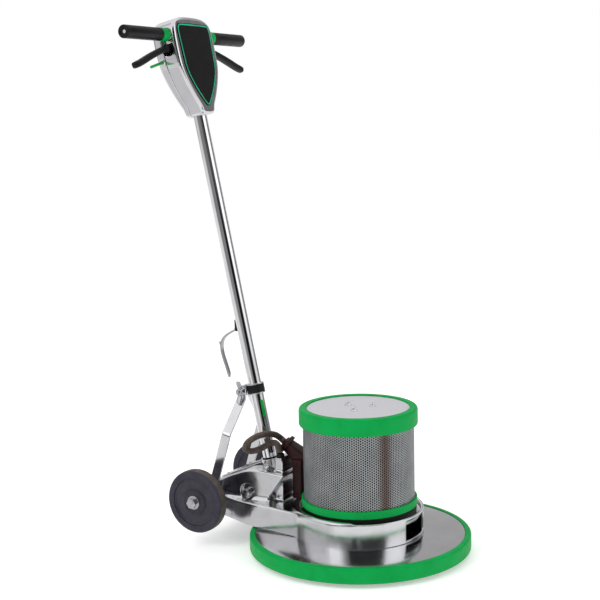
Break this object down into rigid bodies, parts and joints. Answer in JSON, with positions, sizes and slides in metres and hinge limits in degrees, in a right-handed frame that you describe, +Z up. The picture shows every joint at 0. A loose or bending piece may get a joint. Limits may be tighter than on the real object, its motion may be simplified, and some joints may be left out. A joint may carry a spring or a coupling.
{
  "type": "rotary floor machine",
  "caption": "Rotary floor scrubber: round pad under a bumper-ringed disc, caged motor with planetary drive, transport wheels and a tilting tube handle with switch levers.",
  "frame": {"origin": "on the underside of the floor pad, on the motor's axis: the point on the floor at the disc's centre", "axes": "+Z up along the motor's axis, +X forward from the handle to the disc, +Y to the left"},
  "size_m": [0.6831, 0.47, 1.1321],
  "materials": {
    "casting": "polished casting, soft mirror",
    "apron": "polished, with fine circular marks",
    "head_casting": "polished casting, soft mirror",
    "chrome": "mirror",
    "clamp": "bright, lightly brushed",
    "brace": "bright plated bar",
    "hook": "satin casting",
    "zinc": "bright zinc plating",
    "gear_steel": "machined, oiled",
    "lamination": "dull stacked sheet",
    "copper": "varnished copper wire",
    "perforated_steel": "perforated stainless sheet",
    "top_plate": "fine satin sheet",
    "green_rubber": "semi-matt moulded rubber",
    "green_plastic": "smooth moulding",
    "black_plastic": "moulded",
    "grip": "smooth soft rubber, slight sheen",
    "lever": "ribbed moulding",
    "decal": "smooth film with a plain green border line",
    "dark_brown": "dark red-brown enamel",
    "cable": "grey-brown rubber jacket",
    "wheel": "hard moulded rubber",
    "tyre": "grey-black non-marking rubber",
    "driver": "moulded",
    "pad": "open non-woven fibre"
  },
  "bodies": {
    "chassis": {"main_casting": "casting", "apron_disc": "apron", "bumper_ring": "green_rubber", "gear_case": "casting", "ring_gear": "gear_steel", "motor_base": "black_plastic", "stator_core": "lamination", "stator_winding": "copper", "end_bell": "casting", "perforated_cover": "perforated_steel", "lower_band": "green_rubber", "top_band": "green_rubber", "top_plate": "top_plate", "dome_nut_1": "chrome", "dome_nut_2": "chrome", "dome_nut_3": "chrome", "junction_box": "dark_brown", "start_capacitor": "black_plastic", "strain_relief": "dark_brown", "motor_lead": "cable", "lead_grommet": "black_plastic", "rear_cover": "casting", "axle": "gear_steel", "pivot_bolt": "zinc", "axle_bolt_left": "zinc", "axle_bolt_right": "zinc"},
    "wheel_left": {"wheel_hub_left": "wheel", "tyre_left": "tyre"},
    "wheel_right": {"wheel_hub_right": "wheel", "tyre_right": "tyre"},
    "handle": {"handle_socket": "casting", "handle_tube": "chrome", "cord_hook": "hook", "head_rear_shell": "head_casting", "head_front_shell": "head_casting", "decal_panel": "decal", "power_switch": "black_plastic", "cord_gland": "black_plastic", "handlebar": "chrome", "grip_left": "grip", "grip_right": "grip", "grip_collar_left": "green_rubber", "grip_collar_right": "green_rubber"},
    "collar": {"clamp_collar": "clamp", "collar_bush": "black_plastic", "clamp_bolt": "zinc"},
    "wing": {"wing_nut": "zinc"},
    "brace": {"brace_arm_left": "brace", "brace_arm_right": "brace"},
    "lever_left": {"switch_lever_left": "lever"},
    "lever_right": {"switch_lever_right": "lever"},
    "lock": {"lock_pin": "green_plastic"},
    "rotor": {"motor_rotor": "gear_steel", "cooling_fan": "black_plastic"},
    "drive": {"planet_carrier": "gear_steel", "pad_driver": "driver", "floor_pad": "pad"},
    "planet_1": {"planet_gear_1": "gear_steel"},
    "planet_2": {"planet_gear_2": "gear_steel"},
    "planet_3": {"planet_gear_3": "gear_steel"}
  },
  "joints": [
    {"name": "handle_tilt", "type": "hinge", "parent": "chassis", "child": "handle", "pos_m": [-0.24, 0, 0.11], "axis": [0, -1, 0], "range_deg": [-6, 26]},
    {"name": "collar_slide", "type": "slide", "parent": "handle", "child": "collar", "axis": [-0.2028, 0, 0.9792], "range_m": [-0.0096, 0.0414]},
    {"name": "brace_swing", "type": "hinge", "parent": "collar", "child": "brace", "pos_m": [-0.27298, 0, 0.32313], "axis": [0, -1, 0], "range_deg": [-0.62, 2.65]},
    {"name": "wing_turn", "type": "hinge", "parent": "collar", "child": "wing", "pos_m": [-0.27298, -0.029, 0.32313], "axis": [0, -1, 0], "range_deg": [0, 90]},
    {"name": "wheel_left_spin", "type": "hinge", "parent": "chassis", "child": "wheel_left", "pos_m": [-0.325, 0.131, 0.0995], "axis": [0, 1, 0], "continuous": true},
    {"name": "wheel_right_spin", "type": "hinge", "parent": "chassis", "child": "wheel_right", "pos_m": [-0.325, -0.131, 0.0995], "axis": [0, 1, 0], "continuous": true},
    {"name": "lever_left_squeeze", "type": "hinge", "parent": "handle", "child": "lever_left", "pos_m": [-0.398, 0.06, 1.062], "axis": [0.9792, 0, 0.2028], "range_deg": [0, 11], "stiffness_Nm_per_rad": 1.2, "springref_deg": -6.88},
    {"name": "lever_right_squeeze", "type": "hinge", "parent": "handle", "child": "lever_right", "pos_m": [-0.398, -0.06, 1.062], "axis": [-0.9792, 0, -0.2028], "range_deg": [0, 11], "stiffness_Nm_per_rad": 1.2, "springref_deg": -6.88},
    {"name": "lock_pin_push", "type": "slide", "parent": "handle", "child": "lock", "axis": [0, 0.9703, 0.2419], "range_m": [0, 0.008], "stiffness_N_per_m": 400, "springref_m": -0.002},
    {"name": "pad_spin", "type": "hinge", "parent": "chassis", "child": "drive", "pos_m": [0, 0, 0.035], "axis": [0, 0, 1], "continuous": true},
    {"name": "rotor_spin", "type": "hinge", "parent": "chassis", "child": "rotor", "pos_m": [0, 0, 0.175], "axis": [0, 0, 1], "continuous": true},
    {"name": "planet_1_spin", "type": "hinge", "parent": "drive", "child": "planet_1", "pos_m": [0.03375, 0, 0.066], "axis": [0, 0, 1], "continuous": true},
    {"name": "planet_2_spin", "type": "hinge", "parent": "drive", "child": "planet_2", "pos_m": [-0.01688, 0.02923, 0.066], "axis": [0, 0, 1], "continuous": true},
    {"name": "planet_3_spin", "type": "hinge", "parent": "drive", "child": "planet_3", "pos_m": [-0.01688, -0.02923, 0.066], "axis": [0, 0, 1], "continuous": true}
  ],
  "couplings": [
    {"joint": "collar_slide", "follows": "handle_tilt", "m_per_rad": 0.0912},
    {"joint": "brace_swing", "follows": "handle_tilt", "ratio": 0.1019},
    {"joint": "rotor_spin", "follows": "pad_spin", "ratio": 9.8182},
    {"joint": "planet_1_spin", "follows": "pad_spin", "ratio": -2.2558},
    {"joint": "planet_2_spin", "follows": "pad_spin", "ratio": -2.2558},
    {"joint": "planet_3_spin", "follows": "pad_spin", "ratio": -2.2558}
  ]
}
